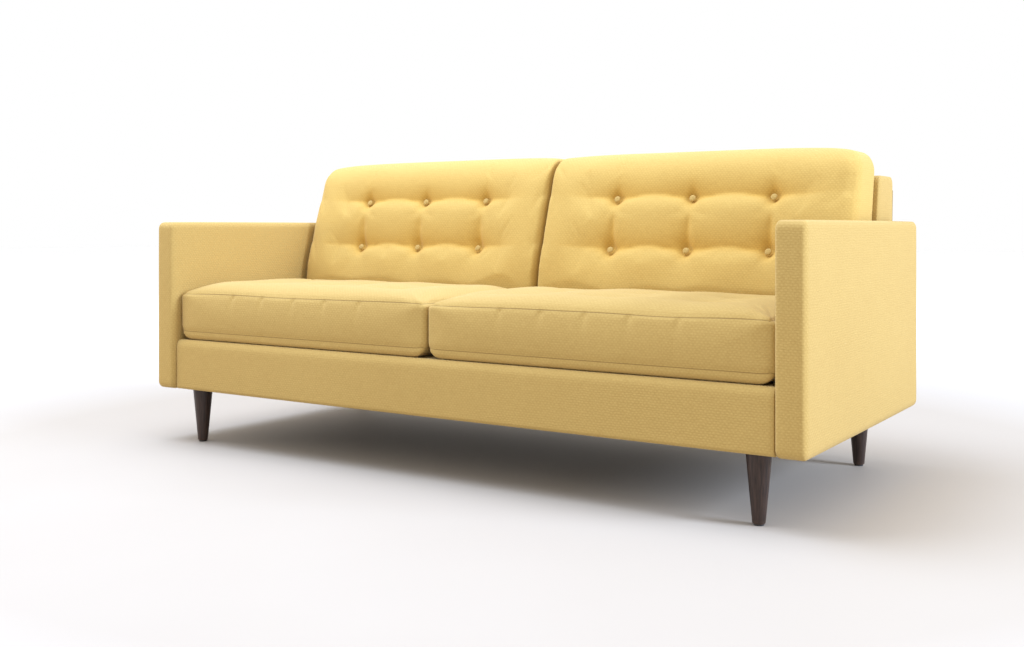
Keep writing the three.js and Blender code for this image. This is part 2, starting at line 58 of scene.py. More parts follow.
camera = bpy.data.objects.new("camera", bpy.data.cameras.new("camera"))
camera.location = (1.7688, -2.7291, 0.641)
camera.rotation_euler = (math.radians(90), 0, math.radians(33.352))
camera.data.lens = 39.8
camera.data.sensor_width = 36
camera.data.shift_y = -0.094
scene.collection.objects.link(camera)
scene.camera = camera
scene.view_settings.view_transform = "Standard"

sky_color = (1.0, 1.0, 1.0, 1)
sky_strength = 1.0
world = bpy.data.worlds.new("studio")
world.use_nodes = True
world.node_tree.nodes["Background"].inputs["Color"].default_value = sky_color
world.node_tree.nodes["Background"].inputs["Strength"].default_value = sky_strength
scene.world = world


def soft_light(name, place, aim, size, watts, color):
    """A square area light at a place, turned towards a point."""
    light = bpy.data.lights.new(name, "AREA")
    light.size = size
    light.energy = watts
    light.color = color
    lamp = bpy.data.objects.new(name, light)
    lamp.location = place
    lamp.rotation_euler = (Vector(aim) - Vector(place)).to_track_quat("-Z", "Y").to_euler()
    scene.collection.objects.link(lamp)


cool_white = (0.80, 1.0, 1.35)
warm_white = (1.0, 0.95, 0.85)
soft_light(
    "upper_left_light", place=(-1.1, -0.7, 4.2), aim=(0, 0, 0.5), size=3.2, watts=240, color=cool_white
)
soft_light("right_light", place=(8.0, 0.8, 3.2), aim=(0.5, 0, 0.5), size=2.6, watts=730, color=cool_white)
soft_light(
    "front_left_light", place=(-3.8, -2.2, 1.0), aim=(-0.8, 0, 0.4), size=1.6, watts=26, color=warm_white
)


def node(tree, kind, values=None, **settings):
    """A new node. values gives its inputs by name or number: a socket is linked, the rest is set."""
    made = tree.nodes.new(kind)
    for name, value in settings.items():
        setattr(made, name, value)
    for key, value in (values or {}).items():
        if isinstance(value, bpy.types.NodeSocket):
            tree.links.new(value, made.inputs[key])
        else:
            made.inputs[key].default_value = value
    return made


def maths(tree, operation, *values):
    """The result of a math node."""
    return node(tree, "ShaderNodeMath", dict(enumerate(values)), operation=operation).outputs[0]


def mixed(tree, share, first, second, blend="MIX"):
    """The result of mixing two colours."""
    values = {0: share, 6: first, 7: second}
    return node(tree, "ShaderNodeMix", values, data_type="RGBA", blend_type=blend).outputs[2]


def ranged(tree, value, low, high, to_low=0.0, to_high=1.0):
    """A value mapped from one range to another, and kept within it."""
    values = {"Value": value, 1: low, 2: high, 3: to_low, 4: to_high}
    return node(tree, "ShaderNodeMapRange", values).outputs[0]


def noise(tree, place, scale, detail=2.0):
    """Soft noise from 0 to 1."""
    values = {"Vector": place, "Scale": scale, "Detail": detail}
    return node(tree, "ShaderNodeTexNoise", values).outputs[0]


def vector_maths(tree, operation, *values):
    """A vector math node."""
    return node(tree, "ShaderNodeVectorMath", dict(enumerate(values)), operation=operation)


def stretched(tree, place, factors):
    """A place scaled along each axis, for noise that runs in streaks."""
    return vector_maths(tree, "MULTIPLY", place, factors).outputs[0]


def new_material(name):
    """A material with only its shader: (material, tree, shader, object coordinates)."""
    material = bpy.data.materials.new(name)
    material.use_nodes = True
    tree = material.node_tree
    shader = tree.nodes["Principled BSDF"]
    return material, tree, shader, tree.nodes.new("ShaderNodeTexCoord")


def bumped(tree, shader, height, strength, distance):
    """The shader's normal follows a height."""
    values = {"Height": height, "Strength": strength, "Distance": distance}
    bump = node(tree, "ShaderNodeBump", values)
    tree.links.new(bump.outputs[0], shader.inputs["Normal"])


def paint(obj, material):
    """The object's only material."""
    obj.data.materials.clear()
    obj.data.materials.append(material)


floor_size = 60
floor_grey = (0.45, 0.385, 0.318, 1)
floor_pale = (0.47, 0.405, 0.338, 1)
floor_far = (1.0, 1.0, 1.0, 1)
fade_start = 1.6
fade_end = 5.0
floor_mesh = bpy.data.meshes.new("studio_floor")
corners = [(-1, -1, 0), (1, -1, 0), (1, 1, 0), (-1, 1, 0)]
floor_mesh.from_pydata([Vector(corner) * floor_size / 2 for corner in corners], [], [(0, 1, 2, 3)])
floor = bpy.data.objects.new("studio_floor", floor_mesh)
scene.collection.objects.link(floor)
floor_paint, tree, shader, place = new_material("floor_paint")
floor_tone = noise(tree, place.outputs["Object"], 2.0)
floor_near = mixed(tree, floor_tone, floor_grey, floor_pale)
from_sofa = vector_maths(tree, "LENGTH", place.outputs["Object"]).outputs[1]
floor_color = mixed(tree, ranged(tree, from_sofa, fade_start, fade_end), floor_near, floor_far)
tree.links.new(floor_color, shader.inputs["Base Color"])
shader.inputs["Roughness"].default_value = 0.7
paint(floor, floor_paint)


# ---- Upholstery cloth --------------------------------------------------------------------------
# One yellow cloth covers the whole sofa: a chunky plain weave of slightly uneven yarns, about
# 5 mm each, whose rows show more than its columns.

def weave_group():
    """Plain weave on whichever plane the surface faces."""
    tree = bpy.data.node_groups.new("plain_weave", "ShaderNodeTree")
    sockets = {"Place": "Vector", "Facing": "Vector", "Pair Across": "Float", "Pair Up": "Float"}
    for name, kind in sockets.items():
        tree.interface.new_socket(name, in_out="INPUT", socket_type=f"NodeSocket{kind}")
    for name in ("Height", "Yarn", "Tone"):
        tree.interface.new_socket(name, in_out="OUTPUT", socket_type="NodeSocketFloat")
    given = tree.nodes.new("NodeGroupInput")
    result = tree.nodes.new("NodeGroupOutput")
    place, facing, pair_across, pair_up = given.outputs[:4]

    # Yarns wander a little from straight lines.
    wander_reach = 0.0066
    wander = node(tree, "ShaderNodeTexNoise", {"Vector": place, "Scale": 55.0, "Detail": 2.0})
    centred = vector_maths(tree, "SUBTRACT", wander.outputs[1], (0.5, 0.5, 0.5)).outputs[0]
    moved = vector_maths(tree, "MULTIPLY", centred, (wander_reach,) * 3).outputs[0]
    wandering = vector_maths(tree, "ADD", place, moved).outputs[0]
    x, y, z = node(tree, "ShaderNodeSeparateXYZ", {0: wandering}).outputs[:3]

    def wave(along, pair):
        """A sine along one direction, with one whole wave for each pair of yarns."""
        turns = maths(tree, "DIVIDE", along, pair)
        return maths(tree, "SINE", maths(tree, "MULTIPLY", turns, 2 * math.pi))

    def woven(across, up):
        """Height of the weave on one plane: rows of yarn, with every other crossing on top."""
        rows = wave(up, pair_up)
        crossing = maths(tree, "MULTIPLY", wave(across, pair_across), rows)
        crossing = maths(tree, "MULTIPLY_ADD", crossing, 0.5, 0.5)
        ridge = maths(tree, "ABSOLUTE", rows)
        ridge_share = 0.38
        ridge_part = maths(tree, "MULTIPLY", ridge, ridge_share)
        return maths(tree, "MULTIPLY_ADD", crossing, 1 - ridge_share, ridge_part)

    # The plane that the surface faces most gives the weave, with a short blend between planes.
    sharpness = 6
    parts = node(tree, "ShaderNodeSeparateXYZ", {0: facing}).outputs[:3]
    shares = [maths(tree, "POWER", maths(tree, "ABSOLUTE", part), sharpness) for part in parts]
    total = maths(tree, "ADD", maths(tree, "ADD", shares[0], shares[1]), shares[2])
    heights = [woven(y, z), woven(x, z), woven(x, y)]
    weighted = [maths(tree, "MULTIPLY", share, height) for share, height in zip(shares, heights)]
    summed = maths(tree, "ADD", maths(tree, "ADD", weighted[0], weighted[1]), weighted[2])
    yarn = maths(tree, "DIVIDE", summed, total)

    # Slubs along both yarns, broad patches of tone and loose fibres.
    slubs_across = noise(tree, stretched(tree, place, (70, 190, 420)), 1.0, 3.0)
    slubs_up = noise(tree, stretched(tree, place, (430, 430, 60)), 1.0, 3.0)
    slubs = maths(tree, "MULTIPLY_ADD", maths(tree, "ADD", slubs_across, slubs_up), 0.8, -0.3)
    patches = noise(tree, place, 3.5, 2.0)
    fibres = noise(tree, place, 900.0, 2.0)
    lifted = maths(tree, "MULTIPLY_ADD", maths(tree, "SUBTRACT", slubs, 0.5), 0.5, yarn)
    height = maths(tree, "MULTIPLY_ADD", maths(tree, "SUBTRACT", fibres, 0.5), 0.25, lifted)
    tone = maths(tree, "MULTIPLY_ADD", maths(tree, "SUBTRACT", patches, 0.5), 0.35, slubs)
    for name, value in (("Height", height), ("Yarn", yarn), ("Tone", tone)):
        tree.links.new(value, result.inputs[name])
    return tree


plain_weave = weave_group()
# The cloth's two tones: the weave's raised yarns take the light tone and its hollows the shade tone,
# which is painted shade between the yarns; slubs and patches vary the tone at random, as the yarns really
# do.
cloth_shade = (0.395, 0.246, 0.072, 1)
cloth_light = (0.525, 0.357, 0.117, 1)
# Deep folds are painted richer and darker: painted shade in the folds.
fold_shade_tint = (1.0, 0.88, 0.60, 1)
fold_shade_depths = (0.004, 0.024)  # where the richer colour starts, and where it is full
# A dark line is painted along each seam: painted shade in the seam's groove. Its colour and widths
# follow.
seam_shade_color = (0.12, 0.065, 0.018, 1)
seam_shade_widths = (0.0003, 0.0016)  # half the seam's line, and half the line with its soft edges
yarn_pair_across = 0.0100
yarn_pair_up = 0.0114


def weave_on(tree, place, pair_across, pair_up):
    """The weave on an object, in its own coordinates. A pair is the width of two yarns."""
    values = {"Place": place.outputs["Object"], "Facing": place.outputs["Normal"]}
    values.update({"Pair Across": pair_across, "Pair Up": pair_up})
    return node(tree, "ShaderNodeGroup", values, node_tree=plain_weave)


def upholstery(name, seamed=False, painted_fold_shade=False, relief=0.38, painted_light_tint=(1, 1, 1, 1)):
    """The sofa's cloth. A seamed piece carries its distance from the nearest seam, where a dark line
    is painted: painted shade in the seam's groove. A fold-shaded one carries the depth of its folds,
    where the cloth's colour is painted richer and darker: painted shade in the folds. The painted
    light tint makes a piece's cloth lighter and warmer: painted light where more light falls."""
    material, tree, shader, place = new_material(name)
    weave = weave_on(tree, place, yarn_pair_across, yarn_pair_up)
    # Raised yarns lighter, hollows darker: painted shade in the weave, with the yarns' own random tone
    # added.
    toned = ranged(tree, weave.outputs["Tone"], 0.2, 0.8, -0.22, 0.22)
    share = maths(tree, "MULTIPLY_ADD", weave.outputs["Yarn"], 0.46, maths(tree, "ADD", toned, 0.24))
    # The painted light tint lightens and warms both tones on a piece that catches more light.
    tints = [[part * more for part, more in zip(tone, painted_light_tint)] for tone in (cloth_shade, cloth_light)]
    color = mixed(tree, share, *tints)
    height = weave.outputs["Height"]
    # Painted shade: the cloth is darkened and made richer where its folds are deep.
    if painted_fold_shade:
        depth = node(tree, "ShaderNodeAttribute", attribute_name="fold_depth").outputs["Fac"]
        fold_shade_color = mixed(tree, 1.0, color, fold_shade_tint, "MULTIPLY")
        color = mixed(tree, ranged(tree, depth, *fold_shade_depths, 0.0, 0.85), color, fold_shade_color)
    if seamed:
        # Painted shade: a dark line along the seam's groove, which is also sunk in the bump.
        distance = node(tree, "ShaderNodeAttribute", attribute_name="seam_distance").outputs["Fac"]
        near = maths(tree, "ABSOLUTE", distance)
        groove = ranged(tree, near, *seam_shade_widths, 1.0, 0.0)
        color = mixed(tree, maths(tree, "MULTIPLY", groove, 0.6), color, seam_shade_color)
        height = maths(tree, "MULTIPLY_ADD", groove, -1.6, height)
    tree.links.new(color, shader.inputs["Base Color"])
    shader.inputs["Roughness"].default_value = 0.92
    shader.inputs["Specular IOR Level"].default_value = 0.15
    shader.inputs["Sheen Weight"].default_value = 0.12
    shader.inputs["Sheen Roughness"].default_value = 0.5
    shader.inputs["Sheen Tint"].default_value = (1.0, 0.9, 0.7, 1)
    bumped(tree, shader, height, relief, 0.0013)
    return material


base_cloth = upholstery("base_cloth")


# ---- Arms --------------------------------------------------------------------------------------
# Each arm is a crisp upholstered box: cloth over thin wadding, pulled tight on a wooden ladder
# frame and stapled under the base.

def box_lattice(marks):
    """A closed box of small quads with its lattice lines at the marks along each axis: (points,
    lattice numbers, faces)."""
    counts = [len(line) - 1 for line in marks]
    numbers = {}
    faces = []
    for axis in range(3):
        across, up = (axis + 1) % 3, (axis + 2) % 3
        for end in (0, counts[axis]):
            for first in range(counts[across]):
                for second in range(counts[up]):
                    face = []
                    for more_across, more_up in ((0, 0), (1, 0), (1, 1), (0, 1)):
                        key = [end, end, end]
                        key[across] = first + more_across
                        key[up] = second + more_up
                        face.append(numbers.setdefault(tuple(key), len(numbers)))
                    faces.append(face if end else face[::-1])
    keys = np.array(list(numbers))
    points = np.stack([np.asarray(marks[axis])[keys[:, axis]] for axis in range(3)], axis=1)
    return points, keys, faces


def edge_marks(low, high, radius, step, edge_cells=4):
    """Lattice lines from low to high: close together over the rounded edges, wider between them."""
    cells = max(2, round((high - low - 2 * radius) / step))
    start = np.linspace(low, low + radius, edge_cells, endpoint=False)
    middle = np.linspace(low + radius, high - radius, cells, endpoint=False)
    return np.concatenate([start, middle, np.linspace(high - radius, high, edge_cells + 1)])


def round_edges(points, low, high, radii, high_radii=None):
    """The points of a box with its edges and corners rounded, by radii of their own at the high
    end of each axis if they are given."""
    radii = np.asarray(radii, dtype=float)
    high_radii = radii if high_radii is None else np.asarray(high_radii, dtype=float)
    inner = np.clip(points, low + radii, high - high_radii)
    radii = np.where(points > inner, high_radii, radii)
    away = (points - inner) / radii
    length = np.maximum(np.linalg.norm(away, axis=1), 1e-9)
    away *= (np.abs(away).max(axis=1) / length)[:, None]
    return inner + away * radii


def mesh_object(name, points, faces, material):
    """A smooth mesh object in the scene."""
    mesh = bpy.data.meshes.new(name)
    mesh.from_pydata([tuple(point) for point in points], [], [tuple(face) for face in faces])
    mesh.shade_smooth()
    obj = bpy.data.objects.new(name, mesh)
    scene.collection.objects.link(obj)
    paint(obj, material)
    return obj


def refine(obj):
    """One smooth subdivision."""
    fine = obj.modifiers.new("Fine", "SUBSURF")
    fine.levels = 1
    fine.render_levels = 1


def carry(obj, name, values):
    """Gives each of the object's points a value that its material reads."""
    carried = obj.data.attributes.new(name, "FLOAT", "POINT")
    carried.data.foreach_set("value", values.astype(np.float32))


def ripples(points, size, amount, seed):
    """Slow, small unevenness: a few seeded waves across the points."""
    draws = np.random.default_rng(seed)
    total = np.zeros(len(points))
    waves = 7
    for _ in range(waves):
        direction = draws.normal(size=3)
        direction *= draws.uniform(0.5, 1.5) * 2 * math.pi / size / np.linalg.norm(direction)
        total += np.sin(points @ direction + draws.uniform(0, 2 * math.pi))
    return amount * total / waves


def tight_box(name, low, high, radii, step, puff, seed, material, high_radii=None):
    """A box of cloth pulled over wadding: edges rounded by the radii, and faces swollen by the
    puff, which is uneven by the seed."""
    low, high = np.array(low), np.array(high)
    widest = radii if high_radii is None else np.maximum(radii, high_radii)
    marks = [edge_marks(low[axis], high[axis], widest[axis], step) for axis in range(3)]
    points, keys, faces = box_lattice(marks)
    share = np.clip((points - low) / (high - low), 0, 1)
    swell = 4 * share * (1 - share)
    rounded = round_edges(points, low, high, radii, high_radii)
    last = np.array([len(line) - 1 for line in marks])
    uneven = ripples(points, 0.35, 0.25 * puff, seed)
    for axis in range(3):
        across, up = (axis + 1) % 3, (axis + 2) % 3
        amount = (puff + uneven) * np.sqrt(swell[:, across] * swell[:, up])
        rounded[:, axis] += np.where(keys[:, axis] == last[axis], amount, 0)
        rounded[:, axis] -= np.where(keys[:, axis] == 0, amount, 0)
    return mesh_object(name, rounded, faces, material)


arm_edge = 0.011
arm_corner = 0.019
arm_step = 0.012
arm_puff = 0.0012
arm_seeds = {"left": 11, "right": 12}
for side, seed in arm_seeds.items():
    low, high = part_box(f"arm_cover_{side}")
    radii = (arm_edge, arm_corner, arm_corner)
    arm = tight_box(f"arm_{side}", low, high, radii, arm_step, arm_puff, seed, base_cloth)
    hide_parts(f"arm_cover_{side}")
    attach(arm, "sofa_frame")


# ---- Front rail --------------------------------------------------------------------------------
# The front rail is a board across the base, wrapped in the same cloth over thin wadding. The
# cloth is pulled over the board's top edge and down its face, and stapled under the base.

rail_low, rail_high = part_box("rail_cover")
rail_radii = (0.003, 0.016, 0.005)
rail_top_radii = (0.003, 0.004, 0.022)
rail_step = 0.012
rail_puff = 0.0008
rail = tight_box(
    "front_rail_cloth",
    rail_low,
    rail_high,
    rail_radii,
    rail_step,
    rail_puff,
    seed=13,
    material=base_cloth,
    high_radii=rail_top_radii,
)
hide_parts("rail_cover")
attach(rail, "sofa_frame")


# ---- Fixed back --------------------------------------------------------------------------------
# The back is a padded slab between the arms, leaning back. Its rear is closed by a cloth panel,
# stretched on and sewn by hand along its edges.

back_low, back_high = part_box("back_cover")
back_radii = (0.006, 0.025, 0.025)
panel_low, panel_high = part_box("outside_back")
cushion_top_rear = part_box("back_cushion_left_cover")[1]
deck_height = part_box("seat_deck")[1][2]
cushion_gap = 0.001
rake = math.tan(math.radians(9.5))
rear_shoulder = back_high[2] - back_radii[2]
rear_run = 0.035  # how far the rear plane leans back from the panel's foot to its shoulder
rear_lean = rear_run / (rear_shoulder - panel_low[2])
back_front_at_deck = cushion_top_rear[1] + cushion_gap - (cushion_top_rear[2] - deck_height) * rake


def back_front(height):
    """The fixed back's front plane at a height."""
    return back_front_at_deck + (height - deck_height) * rake


def back_rear(height):
    """The fixed back's rear plane at a height."""
    return back_high[1] - (rear_shoulder - height) * rear_lean


def leaning(points, low, high, front, rear):
    """Box points with Y spread between two leaning planes, given by height."""
    share = (points[:, 1] - low[1]) / (high[1] - low[1])
    near = front(points[:, 2])
    leaned = points.copy()
    leaned[:, 1] = near + share * (rear(points[:, 2]) - near)
    return leaned


back_cloth_step = 0.014
marks = [
    edge_marks(back_low[axis], back_high[axis], back_radii[axis], back_cloth_step) for axis in range(3)
]
points, keys, faces = box_lattice(marks)
points = round_edges(points, np.array(back_low), np.array(back_high), back_radii)
points = leaning(points, back_low, back_high, back_front, back_rear)
points[:, 1] += ripples(points, 0.4, 0.0012, 14)
back = mesh_object("fixed_back", points, faces, base_cloth)
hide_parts("back_cover")
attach(back, "sofa_frame")

# The closing panel lies in the back's own cloth, its edges turned under and sewn down.
panel_inset = 0.0015
panel_proud = 0.0012
panel_thickness = 0.005
panel_step = 0.02
seamed_cloth = upholstery("seamed_cloth", seamed=True, relief=0.28)
panel_start = np.array([panel_low[0] + panel_inset, 0, panel_low[2]])
panel_end = np.array([panel_high[0] - panel_inset, 1, panel_high[2]])
panel_radii = np.array([0.004, 0.3, 0.004])
marks = [
    edge_marks(panel_start[0], panel_end[0], panel_radii[0], panel_step, 3),
    np.linspace(0, 1, 4),
    edge_marks(panel_start[2], panel_end[2], panel_radii[2], panel_step, 3),
]
points, keys, faces = box_lattice(marks)
edge = np.minimum(points[:, 0] - panel_start[0], panel_end[0] - points[:, 0])
edge = np.minimum(edge, panel_end[2] - points[:, 2])
points = round_edges(points, panel_start, panel_end, panel_radii)
rear = back_rear(points[:, 2]) + panel_proud
points[:, 1] = rear - panel_thickness * (1 - points[:, 1]) + ripples(points, 0.3, 0.0006, 15)
panel = mesh_object("outside_back_panel", points, faces, seamed_cloth)
# Its material paints a dark line along the sewn edges: painted shade in the seam.
carry(panel, "seam_distance", edge - 0.0005)
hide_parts("outside_back")
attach(panel, "sofa_frame")


# ---- Seat cushions -----------------------------------------------------------------------------
# Two loose foam cushions in boxed covers: a flat band between two sewn seams, and a crowned top
# drawn down by six covered buttons.

def settle(pads, pressure, most_move):
    """Puffs up closed covers by cloth simulation, and gives each cover's new points. A fully held
    point stays, and no point moves more than most_move."""
    frames = 20
    for pad, held in pads:
        group = pad.vertex_groups.new(name="held")
        for level in np.unique(held[held > 0]):
            group.add(np.flatnonzero(held == level).tolist(), float(level), "REPLACE")
        cloth = pad.modifiers.new("Puff", "CLOTH")
        cloth.settings.quality = 4
        cloth.settings.mass = 0.25
        cloth.settings.tension_stiffness = 12
        cloth.settings.compression_stiffness = 12
        cloth.settings.bending_stiffness = 0.4
        cloth.settings.use_pressure = True
        cloth.settings.uniform_pressure_force = pressure
        cloth.settings.vertex_group_mass = "held"
        cloth.settings.effector_weights.gravity = 0
        cloth.collision_settings.use_collision = False
        cloth.point_cache.frame_start = 1
        cloth.point_cache.frame_end = frames
    for frame_number in range(1, frames + 1):
        scene.frame_set(frame_number)
    settled = []
    for pad, held in pads:
        puffed = pad.evaluated_get(bpy.context.evaluated_depsgraph_get()).to_mesh()
        after = np.empty(len(puffed.vertices) * 3)
        puffed.vertices.foreach_get("co", after)
        before = np.empty(len(pad.data.vertices) * 3)
        pad.data.vertices.foreach_get("co", before)
        before = before.reshape(-1, 3)
        move = after.reshape(-1, 3) - before
        length = np.maximum(np.linalg.norm(move, axis=1), 1e-9)
        move *= np.minimum(1, most_move / length)[:, None]
        settled.append(before + move)
    for pad, held in pads:
        pad.modifiers.remove(pad.modifiers["Puff"])
        pad.vertex_groups.clear()
    scene.frame_set(1)
    return settled


def place_points(obj, points):
    """Moves the mesh's points."""
    obj.data.vertices.foreach_set("co", points.astype(np.float32).ravel())
    obj.data.update()


def even_marks(low, high, step):
    """Evenly spaced lattice lines along each axis."""
    return [np.linspace(start, end, round((end - start) / step)) for start, end in zip(low, high)]


def crease(distance, reach):
    """1 on a line, falling to 0 within its reach."""
    return np.exp(-((distance / reach) ** 2))


def finish_cushion(pad, name, side):
    """One subdivision, and what the cushion stands for."""
    refine(pad)
    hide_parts(f"{name}_{side}_cover", f"{name}_{side}_core")
    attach(pad, f"{name}_{side}")


seat_step = 0.0068
seat_draw = np.array([0.0015, 0.007, 0])  # how much smaller the cover starts
seat_pressure = 5
seat_most_move = 0.014
seat_firm_hold = 0.85  # of the seams and the ends, while the cover is puffed

# Heights of the two seams, and the radii of the edges.
seat_top_seam = 0.446
seat_low_seam = 0.331
seat_end_edge = 0.036
seat_rear_edge = 0.024
seat_front_edge = 0.014
seat_under_edge = 0.036
seat_seam_edge = 0.008
seat_corner = 0.048

# The crown, its ripples, and the dimples under the buttons.
seat_crown = 0.030
seat_ripple_size = 0.28
seat_ripple = 0.005
seat_button_sink = 0.027
seat_button_rows = (0.36, 0.70)  # shares of the depth, from the front
dimple_flat = 0.008
dimple_reach = 0.038

# Along the seams: their grooves, the puckers that hang from the upper one, and the pinches on the
# lower one. The shares are of the cushion's width, from the left.
top_seam_sink, top_seam_reach = 0.0032, 0.0065
low_seam_sink, low_seam_reach = 0.0034, 0.0075
pucker_shares = (0.244, 0.369, 0.500, 0.625, 0.759)
pucker_sink = 0.012
pucker_drop = 0.020
pucker_width = 0.006
pucker_slant = 0.08
pucker_spread = 0.1
pinch_shares = (0.375, 0.625)
pinch_sink = 0.0028
pinch_height = 0.014
pinch_width = 0.012
band_edge = 0.02  # how near the front, in metres, and the ends, as a share, the grooves begin
button_pitch = 0.2345
button_columns = (-button_pitch, 0, button_pitch)
seat_seeds = {"left": 21, "right": 22}
seats = []
for side, seed in seat_seeds.items():
    low, high = (np.array(corner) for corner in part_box(f"seat_cushion_{side}_cover"))
    start = low + seat_draw
    end = high - seat_draw
    end[2] = seat_top_seam
    marks = even_marks(start, end, seat_step)
    points, keys, faces = box_lattice(marks)
    on_top = keys[:, 2] == len(marks[2]) - 1
    on_bottom = keys[:, 2] == 0
    edge = np.minimum(points[:, :2] - start[:2], end[:2] - points[:, :2]).min(axis=1)
    seam_distance = np.where(on_top, edge, points[:, 2] - seat_top_seam)
    flat_top = points.copy()
    low_radii = (seat_end_edge, seat_front_edge, seat_under_edge)
    high_radii = (seat_end_edge, seat_rear_edge, seat_seam_edge)
    points = round_edges(points, start, end, low_radii, high_radii)

    # The top panel rises from its seam to a crown, with a dimple under each button.
    middle = (start + end) / 2
    half = (end - start) / 2
    u = (flat_top[:, 0] - middle[0]) / half[0]
    v = (flat_top[:, 1] - middle[1]) / half[1]
    rise = (1 - np.abs(u) ** 5) ** 0.5 * (1 - np.abs(v) ** 4) ** 0.5
    button_places = []
    dip = np.zeros(len(points))
    for column in button_columns:
        for row in seat_button_rows:
            spot = np.array([middle[0] + column, start[1] + row * (end[1] - start[1])])
            button_places.append(spot)
            radius = np.hypot(flat_top[:, 0] - spot[0], flat_top[:, 1] - spot[1])
            dip = np.maximum(dip, np.exp(-np.maximum(radius - dimple_flat, 0) / dimple_reach))
    points[:, 2] += on_top * (seat_crown * rise - seat_button_sink * dip)
    held = np.where(on_bottom, 1.0, 0.0)
    held = np.where(np.abs(seam_distance) < 0.6 * seat_step, seat_firm_hold, held)
    held = np.where(on_top & (dip > 0.9), 1.0, held)
    on_end = (keys[:, 0] == 0) | (keys[:, 0] == len(marks[0]) - 1)
    held = np.where(on_end, np.maximum(held, seat_firm_hold), held)
    pad = mesh_object(f"seat_cushion_{side}_cushion", points, faces, seamed_cloth)
    seat = {"side": side, "seed": seed, "pad": pad, "points": points, "held": held}
    seat.update(low=low, high=high, seam_distance=seam_distance, flat_top=flat_top)
    seat.update(on_top=on_top, button_places=button_places)
    seats.append(seat)

pads = [(seat["pad"], seat["held"]) for seat in seats]
seat_points = settle(pads, seat_pressure, seat_most_move)


# A covered button is a small dome of the cushion's cloth, drawn tight over a metal shell and tied
# through the cushion with twine.
button_radius = 0.0095
button_height = 0.008
button_rings = 10
button_spokes = 28
button_cloth = upholstery("button_cloth")


def button_object(name, place, outwards, body):
    """A button at the foot of its hollow."""
    points = []
    for ring in range(button_rings + 1):
        angle = math.pi * ring / button_rings
        out = button_radius * math.sin(angle) ** 0.8
        up = 0.5 * button_height * math.cos(angle)
        for spoke in range(button_spokes):
            turn = 2 * math.pi * spoke / button_spokes
            points.append((out * math.cos(turn), out * math.sin(turn), up))
    faces = []
    for ring in range(1, button_rings - 1):
        for spoke in range(button_spokes):
            after = (spoke + 1) % button_spokes
            row, below = ring * button_spokes, (ring + 1) * button_spokes
            faces.append((row + spoke, below + spoke, below + after, row + after))
    faces.append([button_spokes + spoke for spoke in range(button_spokes)])
    last = (button_rings - 1) * button_spokes
    faces.append([last + spoke for spoke in reversed(range(button_spokes))])
    used = sorted({index for face in faces for index in face})
    renumbered = {index: number for number, index in enumerate(used)}
    turn = Vector(outwards).to_track_quat("Z", "Y").to_matrix()
    placed = [turn @ Vector(points[index]) + Vector(place) for index in used]
    faces = [[renumbered[index] for index in face] for face in faces]
    obj = mesh_object(name, placed, faces, button_cloth)
    refine(obj)
    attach(obj, body)
    return obj


for seat, points in zip(seats, seat_points):
    side, pad, low, high = seat["side"], seat["pad"], seat["low"], seat["high"]
    seam_distance, flat_top, on_top = seat["seam_distance"], seat["flat_top"], seat["on_top"]
    across = (flat_top[:, 0] - low[0]) / (high[0] - low[0])
    uneven = ripples(flat_top, seat_ripple_size, seat_ripple, seat["seed"])
    on_sides = ~on_top & (flat_top[:, 2] > low[2] + 0.001)
    faces_front = np.clip((low[1] + band_edge - flat_top[:, 1]) / band_edge, 0, 1)
    past_end = np.clip((np.abs(across - 0.5) - (0.5 - band_edge)) / band_edge, 0, 1)
    sideways = past_end * np.sign(across - 0.5)

    # The seams sit in shallow grooves, with short puckers hanging from the upper one.
    over_low_seam = flat_top[:, 2] - seat_low_seam
    groove = top_seam_sink * crease(seam_distance, top_seam_reach)
    groove += on_sides * low_seam_sink * crease(over_low_seam, low_seam_reach)
    below = np.clip(seat_top_seam - flat_top[:, 2], 0, 1)
    hang = np.exp(-below / pucker_drop) * on_sides
    for pucker in pucker_shares:
        offset = (across - pucker) * (high[0] - low[0]) + pucker_slant * below
        groove += pucker_sink * hang * crease(offset, pucker_width + pucker_spread * below)
    for pinch in pinch_shares:
        offset = (across - pinch) * (high[0] - low[0])
        on_seam = crease(over_low_seam, pinch_height)
        groove += pinch_sink * on_sides * on_seam * crease(offset, pinch_width)
    points[:, 1] += groove * faces_front + on_sides * faces_front * uneven * 0.5
    points[:, 0] -= groove * sideways
    points[:, 2] += on_top * (uneven - 0.4 * groove)

    # The lower corners are pulled round at both ends.
    for end_x, inwards in ((low[0], 1), (high[0], -1)):
        reach = np.maximum(seat_corner - inwards * (points[:, 0] - end_x), 0)
        drop = np.maximum(low[2] + seat_corner - points[:, 2], 0)
        length = np.maximum(np.hypot(reach, drop), 1e-9)
        shrink = np.where((reach > 0) & (drop > 0), np.minimum(1, seat_corner / length), 1)
        points[:, 0] += inwards * reach * (1 - shrink)
        points[:, 2] += drop * (1 - shrink)

    # The cushion keeps clear of its neighbours.
    limit_low = low - (0, 0.004, 0)
    limit_high = high + (0, 0.003, 0.014)
    points = np.clip(points, limit_low, limit_high)
    place_points(pad, points)
    # The distance to the nearer seam, where the material paints a dark line: painted shade in the seam's
    # groove.
    lower = -over_low_seam
    signed = np.where(np.abs(seam_distance) < np.abs(lower), seam_distance, lower)
    carry(pad, "seam_distance", signed)
    finish_cushion(pad, "seat_cushion", side)
    for number, spot in enumerate(seat["button_places"], start=1):
        near = np.hypot(flat_top[:, 0] - spot[0], flat_top[:, 1] - spot[1]) < 0.014
        floor_height = points[near & on_top, 2].mean()
        place = (spot[0], spot[1], floor_height + 0.35 * button_height)
        button_object(f"seat_button_{side}_{number}", place, (0, 0, 1), f"seat_cushion_{side}")


